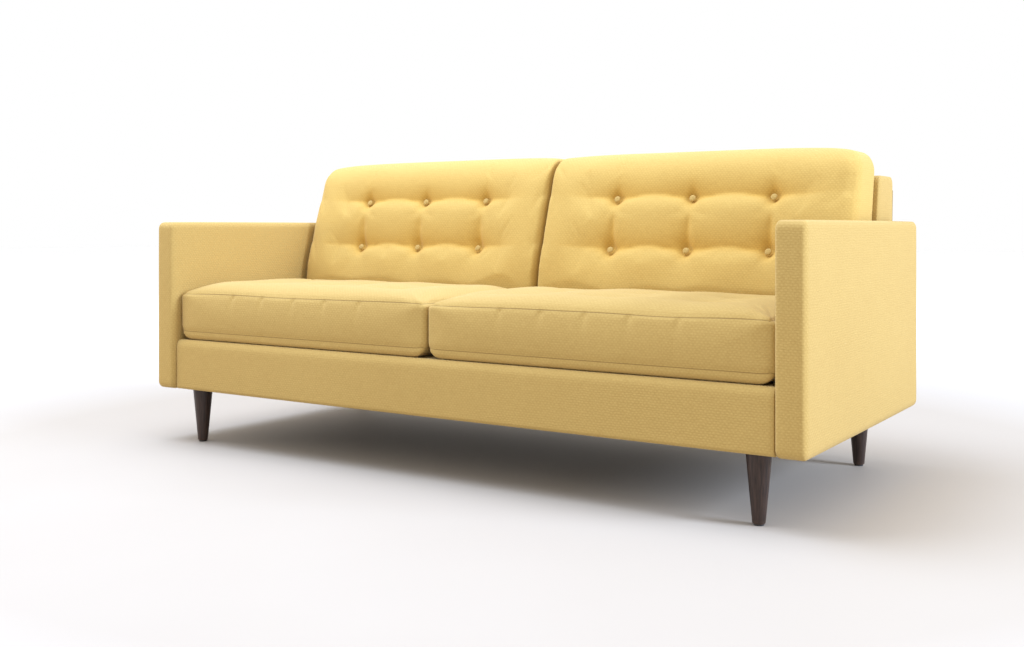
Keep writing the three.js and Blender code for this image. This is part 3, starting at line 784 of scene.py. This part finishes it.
# ---- Back cushions -----------------------------------------------------------------------------
# Two loose, fibre-filled cushions in knife-edge covers. Two rows of three covered buttons draw
# the front in, with a fold from button to button along each row.

# The back cushions' cloth is painted lighter and warmer than the same cloth elsewhere: painted light, for
# the light that falls on their upturned fronts.
back_cushion_painted_light = (1.13, 1.12, 1.0, 1)
back_cushion_cloth = upholstery("back_cushion_cloth", painted_fold_shade=True, relief=0.24, painted_light_tint=back_cushion_painted_light)
back_step = 0.0065
back_pressure = 4
back_most_move = 0.011
inner_end_hold = 0.9
outer_end_hold = 0.5

# How much smaller the cover starts, and the radii of its edges.
back_inner_draw = 0.002
back_outer_draw = 0.005
back_top_draw = 0.010
back_inner_end = 0.011
back_outer_ends = {"left": 0.024, "right": 0.036}
back_front_edge = 0.044
back_top_edge = 0.056

# The front, from the seat up and over to the top: the height and Y of each point.
front_profile = (
    (0.306, 0.075),
    (0.470, 0.075),
    (0.520, 0.081),
    (0.580, 0.096),
    (0.640, 0.113),
    (0.715, 0.1365),
    (0.785, 0.160),
    (0.815, 0.173),
    (0.838, 0.189),
    (0.852, 0.206),
    (0.862, 0.228),
)
front_heights, front_depths = zip(*front_profile)
cushion_thickness = 0.185
rear_gap = 0.0015
top_drops = {"left": 0.008, "right": 0.016}  # of the top towards the cushion's outer end
top_drop_start = 0.72  # as a share of the way from the middle to the outer end

# Buttons, the hollows round them, and the folds along their rows.
button_row_heights = (0.583, 0.728)
button_sink = 0.026
pocket_flat = 0.0115
pocket_reach = 0.016
pocket_hold = 0.013
wedge_sink = 0.009  # of the crease that runs up from each button
wedge_width = 0.0075
wedge_reach = 0.024
fan_sink = 0.0035  # of the two short creases under it
fan_width = 0.010
fan_slant = 0.55
fan_reach = 0.03
fold_sink = 0.024
fold_reach_up = 0.056
fold_reach_down = 0.012
fold_run_out = 0.12  # past the last button
arch_rise = 0.008  # of a fold, midway between two buttons
arch_slope = 0.04
valley_sink = 0.010  # of the upright valleys between the rows
valley_left = 0.035
valley_right = 0.008
front_lean = math.radians(18.1)
into_cushion = np.array([0, math.cos(front_lean), -math.sin(front_lean)])
back_seeds = {"left": 31, "right": 32}


def tufting(across, up, draws):
    """How deep the front is drawn in, and how firmly it is held there."""
    sink = np.zeros(len(across))
    held = np.zeros(len(across))
    for row_number, row in enumerate(button_row_heights):
        for column in button_columns:
            beside = across - column
            above = up - row
            radius = 0.5 * np.hypot(beside, above) + 0.4 * (np.abs(beside) + np.abs(above))
            pocket = np.exp(-np.maximum(radius - pocket_flat, 0) / pocket_reach)
            sink = np.hypot(sink, button_sink * pocket)
            held = np.maximum(held, radius < pocket_hold)
            stray = draws.uniform(-0.002, 0.002)
            wedge = crease(beside + stray, wedge_width + 0.1 * np.clip(above, 0, 0.05))
            wedge *= np.exp(-np.maximum(above, 0) / wedge_reach) * (above > 0)
            sink += wedge_sink * wedge * (1 - pocket)
            fan = crease(np.abs(beside) - fan_slant * np.clip(-above, 0, 1), fan_width)
            sink += fan_sink * fan * np.exp(np.minimum(above, 0) / fan_reach) * (above < -0.008)
        phase = np.clip(across / button_pitch, -1, 1)
        between = 0.5 - 0.5 * np.cos(2 * math.pi * phase)
        beyond = np.maximum(np.abs(across) - button_pitch, 0)
        arch = arch_rise * between + arch_slope * beyond
        above = up - (row + arch)
        profile = np.where(above > 0, np.exp(-above / fold_reach_up), np.exp(above / fold_reach_down))
        depth = fold_sink * (1 - 0.25 * between) * np.exp(-beyond / fold_run_out)
        sink = np.hypot(sink, depth * profile)
        firm = (np.abs(above) < 0.004) & (beyond < 0.09)
        held = np.maximum(held, 0.7 * firm)
        if row_number == 0:
            for column in button_columns:
                above = up - row
                beside = across - column - 0.004 + 0.03 * above
                window = np.clip(above / 0.02, 0, 1) * np.clip((0.112 - above) / 0.045, 0, 1)
                left_wall, right_wall = np.exp(beside / valley_left), np.exp(-beside / valley_right)
                sink += valley_sink * np.where(beside < 0, left_wall, right_wall) * window
    return sink, held


back_pads = []
for side, seed in back_seeds.items():
    low, high = (np.array(corner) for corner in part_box(f"back_cushion_{side}_cover"))
    outer_sign = 1 if side == "right" else -1
    draws_in = (back_inner_draw, back_outer_draw)[::outer_sign]
    start = low + (draws_in[0], 0, 0)
    end = high - (draws_in[1], 0, back_top_draw)
    start[1], end[1] = 0, cushion_thickness
    marks = even_marks(start, end, back_step)
    points, keys, faces = box_lattice(marks)
    lattice = points.copy()
    ends = (back_inner_end, back_outer_ends[side])[::outer_sign]
    low_radii = (ends[0], back_front_edge, back_top_edge)
    points = round_edges(points, start, end, low_radii, (ends[1], back_front_edge, back_top_edge))
    middle = (low[0] + high[0]) / 2
    half = (high[0] - low[0]) / 2
    across = points[:, 0] - middle
    toward_end = np.clip((outer_sign * across / half - top_drop_start) / (1 - top_drop_start), 0, 1)
    high_up = np.clip((points[:, 2] - 0.70) / 0.15, 0, 1)
    points[:, 2] -= top_drops[side] * toward_end**2 * high_up
    front = np.interp(points[:, 2], front_heights, front_depths)
    rear = back_front(points[:, 2]) - rear_gap
    share = points[:, 1] / cushion_thickness
    points[:, 1] = front + share * (rear - front)
    nearness = np.clip(1 - 2.2 * share, 0, 1) ** 0.7
    draws = np.random.default_rng(seed)
    sink, firmly = tufting(across, points[:, 2], draws)
    points += (sink * nearness)[:, None] * into_cushion
    on_rear_or_foot = (keys[:, 1] == len(marks[1]) - 1) | (keys[:, 2] == 0)
    held = np.where(on_rear_or_foot, 1.0, firmly * (keys[:, 1] == 0))
    on_end = (keys[:, 0] == 0) | (keys[:, 0] == len(marks[0]) - 1)
    end_hold = np.where(outer_sign * across < 0, inner_end_hold, outer_end_hold)
    held = np.where(on_end, np.maximum(held, end_hold), held)
    pad = mesh_object(f"back_cushion_{side}_cushion", points, faces, back_cushion_cloth)
    carry(pad, "fold_depth", sink * nearness)
    back_pad = {"side": side, "seed": seed, "pad": pad, "points": points, "held": held}
    back_pad.update(lattice=lattice, low=low, high=high)
    back_pads.append(back_pad)

pads = [(back_pad["pad"], back_pad["held"]) for back_pad in back_pads]
back_points = settle(pads, back_pressure, back_most_move)

for back_pad, points in zip(back_pads, back_points):
    side, pad, lattice = back_pad["side"], back_pad["pad"], back_pad["lattice"]
    low, high = back_pad["low"], back_pad["high"]
    share = lattice[:, 1] / cushion_thickness
    uneven = ripples(lattice, 0.22, 0.004, back_pad["seed"]) * np.clip(1 - 2 * share, 0, 1)
    points += uneven[:, None] * into_cushion

    # The cushion keeps clear of the fixed back behind it and of the seat cushion below it.
    points[:, 0] = np.clip(points[:, 0], low[0], high[0])
    points[:, 1] = np.minimum(points[:, 1], back_front(points[:, 2]) - 0.0008)
    clear_of_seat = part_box(f"seat_cushion_{side}_cover")[1][1] + 0.0045
    above_seat = 0.50
    lowest = np.where(points[:, 2] < above_seat, clear_of_seat, -1)
    points[:, 1] = np.maximum(points[:, 1], lowest)
    points[:, 2] = np.clip(points[:, 2], low[2], high[2] + 0.012)
    place_points(pad, points)
    finish_cushion(pad, "back_cushion", side)
    body = f"back_cushion_{side}"
    for number in range(1, 7):
        button_low, button_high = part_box(f"back_button_{side}_{number}")
        place = (np.array(button_low) + np.array(button_high)) / 2 - 0.002 * into_cushion
        button = button_object(f"back_button_{side}_{number}_covered", place, -into_cushion, body)
        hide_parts(f"back_button_{side}_{number}")


# ---- Legs --------------------------------------------------------------------------------------
# Turned hardwood cones, stained espresso and lacquered, with the grain just showing. Each one
# screws up into a corner block by the bolt in its top.

wood_dark = (0.018, 0.010, 0.007, 1)
wood_pale = (0.055, 0.030, 0.021, 1)
wood_pore = (0.008, 0.005, 0.004, 1)
wood_bare = (0.12, 0.075, 0.05, 1)
leg_wood, tree, shader, place = new_material("leg_wood")
point = place.outputs["Object"]
grain = noise(tree, stretched(tree, point, (260, 260, 9)), 1.0, 6.0)
pores = noise(tree, stretched(tree, point, (1400, 1400, 60)), 1.0, 2.0)
stained = mixed(tree, ranged(tree, grain, 0.3, 0.7), wood_dark, wood_pale)
wood = mixed(tree, ranged(tree, pores, 0.62, 0.75, 0.0, 0.5), stained, wood_pore)
height = node(tree, "ShaderNodeSeparateXYZ", {0: point}).outputs[2]
foot_wear = ranged(tree, height, 0.004, 0.016, 0.5, 0.0)
scuffed = maths(tree, "MULTIPLY", foot_wear, noise(tree, point, 300.0, 3.0))
wood = mixed(tree, scuffed, wood, wood_bare)
tree.links.new(wood, shader.inputs["Base Color"])
tree.links.new(ranged(tree, grain, 0.3, 0.7, 0.42, 0.30), shader.inputs["Roughness"])
shader.inputs["Specular IOR Level"].default_value = 0.3
shader.inputs["Coat Weight"].default_value = 0.08
shader.inputs["Coat Roughness"].default_value = 0.25
bumped(tree, shader, pores, 0.15, 0.0004)

leg_spokes = 56
leg_rings = (0.0, 0.0015, 0.004, 0.012, 0.04, 0.08, 0.12, 0.150, 0.1545, 0.1565, 0.1574)
for place_name in ("front", "rear"):
    for side in ("left", "right"):
        leg_low, leg_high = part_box(f"leg_{place_name}_{side}")
        axis = [(leg_low[0] + leg_high[0]) / 2, (leg_low[1] + leg_high[1]) / 2]
        length = leg_high[2] - leg_low[2]
        top_radius = (leg_high[0] - leg_low[0]) / 2
        foot_radius = 0.49 * top_radius
        points, faces = [], []
        for ring, height in enumerate(leg_rings):
            radius = foot_radius + (top_radius - foot_radius) * height / length
            radius -= 0.0022 * max(0, 1 - height / 0.003) ** 2
            for spoke in range(leg_spokes):
                turn = 2 * math.pi * spoke / leg_spokes
                across = (radius * math.cos(turn), radius * math.sin(turn))
                points.append((axis[0] + across[0], axis[1] + across[1], leg_low[2] + height))
                if ring:
                    after = (spoke + 1) % leg_spokes
                    below, above = (ring - 1) * leg_spokes, ring * leg_spokes
                    faces.append((below + spoke, below + after, above + after, above + spoke))
        faces.append(list(reversed(range(leg_spokes))))
        faces.append([(len(leg_rings) - 1) * leg_spokes + spoke for spoke in range(leg_spokes)])
        leg = mesh_object(f"leg_{place_name}_{side}_turned", points, faces, leg_wood)
        leg.data.polygons[-1].use_smooth = False
        leg.data.polygons[-2].use_smooth = False
        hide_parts(f"leg_{place_name}_{side}")
        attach(leg, "sofa_frame")


# ---- Glides and bolts --------------------------------------------------------------------------
# A nylon glide is nailed under each foot, so that it doesn't mark the floor, and a zinc-plated
# bolt runs up out of each leg.

nylon, tree, shader, place = new_material("glide_nylon")
scuffs = noise(tree, stretched(tree, place.outputs["Object"], (500, 120, 200)), 1.0, 4.0)
nylon_color = mixed(tree, scuffs, (0.015, 0.015, 0.015, 1), (0.05, 0.048, 0.046, 1))
tree.links.new(nylon_color, shader.inputs["Base Color"])
tree.links.new(ranged(tree, scuffs, 0.3, 0.7, 0.4, 0.65), shader.inputs["Roughness"])


def steel(name, shade, bright):
    """Plated or oiled steel, with faint streaks."""
    material, tree, shader, place = new_material(name)
    streaks = noise(tree, stretched(tree, place.outputs["Object"], (900, 120, 400)), 1.0, 4.0)
    tree.links.new(mixed(tree, streaks, shade, bright), shader.inputs["Base Color"])
    tree.links.new(ranged(tree, streaks, 0.3, 0.7, 0.28, 0.5), shader.inputs["Roughness"])
    shader.inputs["Metallic"].default_value = 1.0
    return material


bolt_steel = steel("bolt_steel", (0.35, 0.36, 0.37, 1), (0.55, 0.55, 0.54, 1))
for place_name in ("front", "rear"):
    for side in ("left", "right"):
        paint(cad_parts[f"glide_{place_name}_{side}"], nylon)
        paint(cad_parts[f"leg_bolt_{place_name}_{side}"], bolt_steel)


# ---- Wooden frame ------------------------------------------------------------------------------
# Kiln-dried softwood boards, glued, blocked and stapled, all hidden inside the upholstery. The
# grain runs along the rails, up the posts and arm frames, and front to back in the stretcher.

def sawn_wood(name, streaks_along):
    """Pale sawn board with its grain along one axis."""
    material, tree, shader, place = new_material(name)
    factors = np.full(3, 140.0)
    factors[streaks_along] = 4
    grain = noise(tree, stretched(tree, place.outputs["Object"], factors), 1.0, 6.0)
    rings = noise(tree, stretched(tree, place.outputs["Object"], factors / 5), 1.0, 3.0)
    pale = mixed(tree, ranged(tree, grain, 0.3, 0.7), (0.50, 0.33, 0.18, 1), (0.68, 0.50, 0.31, 1))
    board = mixed(tree, ranged(tree, rings, 0.45, 0.7, 0.0, 0.4), pale, (0.42, 0.25, 0.12, 1))
    tree.links.new(board, shader.inputs["Base Color"])
    shader.inputs["Roughness"].default_value = 0.75
    bumped(tree, shader, grain, 0.3, 0.0008)
    return material


rail_wood = sawn_wood("rail_wood", 0)
stile_wood = sawn_wood("stile_wood", 2)
stretcher_wood = sawn_wood("stretcher_wood", 1)
for name in ("front_rail", "rear_seat_rail", "back_bottom_rail", "back_top_rail", "back_lower_rail"):
    paint(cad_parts[name], rail_wood)
paint(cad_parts["center_stretcher"], stretcher_wood)
for side in ("left", "right"):
    paint(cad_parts[f"arm_frame_{side}"], stile_wood)
    paint(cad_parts[f"back_post_{side}"], stile_wood)
    for place_name in ("front", "rear"):
        paint(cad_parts[f"corner_block_{place_name}_{side}"], rail_wood)


# ---- Springs, webbing, deck and dust cover -----------------------------------------------------
# Zigzag springs carry the seat under a padded deck, jute straps carry the back, and a thin black
# cloth is stapled under the frame.

spring_steel = steel("spring_steel", (0.16, 0.16, 0.165, 1), (0.30, 0.30, 0.30, 1))
for number in range(1, 7):
    paint(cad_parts[f"seat_spring_{number}"], spring_steel)


def plain_cloth(name, shade, bright, pair, strength):
    """A simple woven cloth in two tones: the weave's raised yarns take the bright tone and its hollows
    the shade tone, painted shade between the yarns, with slubs and loose fibres varying it at random.
    """
    material, tree, shader, place = new_material(name)
    weave = weave_on(tree, place, pair, pair)
    tree.links.new(mixed(tree, weave.outputs["Height"], shade, bright), shader.inputs["Base Color"])
    shader.inputs["Roughness"].default_value = 0.9
    bumped(tree, shader, weave.outputs["Height"], strength, 0.0008)
    return material


jute = plain_cloth("jute_webbing", (0.10, 0.065, 0.035, 1), (0.26, 0.18, 0.10, 1), 0.003, 0.5)
deck_cloth = plain_cloth("deck_cloth", (0.36, 0.26, 0.11, 1), (0.50, 0.38, 0.18, 1), 0.0022, 0.3)
dust_cloth = plain_cloth("dust_cloth", (0.006, 0.006, 0.006, 1), (0.020, 0.019, 0.019, 1), 0.0016, 0.2)
paint(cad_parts["back_webbing"], jute)

# The deck's pad lies flat under the seat cushions.
deck_low, deck_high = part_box("seat_deck")
deck_radii = (0.004, 0.004, 0.005)
deck = tight_box("padded_deck", deck_low, deck_high, deck_radii, 0.02, 0.0, 41, deck_cloth)
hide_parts("seat_deck")
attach(deck, "sofa_frame")

# The dust cover is one sheet, stapled round its edges, and it hangs down a little in the middle.
dust_low, dust_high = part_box("dust_cover")
dust_cells = (90, 42)
dust_gap = 0.0005
dust_sag = 0.004
dust_x = np.linspace(dust_low[0], dust_high[0], dust_cells[0] + 1)
dust_y = np.linspace(dust_low[1], dust_high[1], dust_cells[1] + 1)
grid_x, grid_y = np.meshgrid(dust_x, dust_y, indexing="ij")
bow = np.sin(math.pi * (grid_x - dust_x[0]) / (dust_x[-1] - dust_x[0]))
bow *= np.sin(math.pi * (grid_y - dust_y[0]) / (dust_y[-1] - dust_y[0]))
grid = np.stack([grid_x, grid_y, dust_low[2] - dust_gap - dust_sag * bow], axis=-1).reshape(-1, 3)
grid[:, 2] += ripples(grid, 0.15, 0.0008, 42)
row = dust_cells[1] + 1
faces = []
for first in range(dust_cells[0]):
    for second in range(dust_cells[1]):
        corner = first * row + second
        faces.append((corner, corner + 1, corner + row + 1, corner + row))
dust = mesh_object("dust_cover_cloth", grid, faces, dust_cloth)
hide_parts("dust_cover")
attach(dust, "sofa_frame")
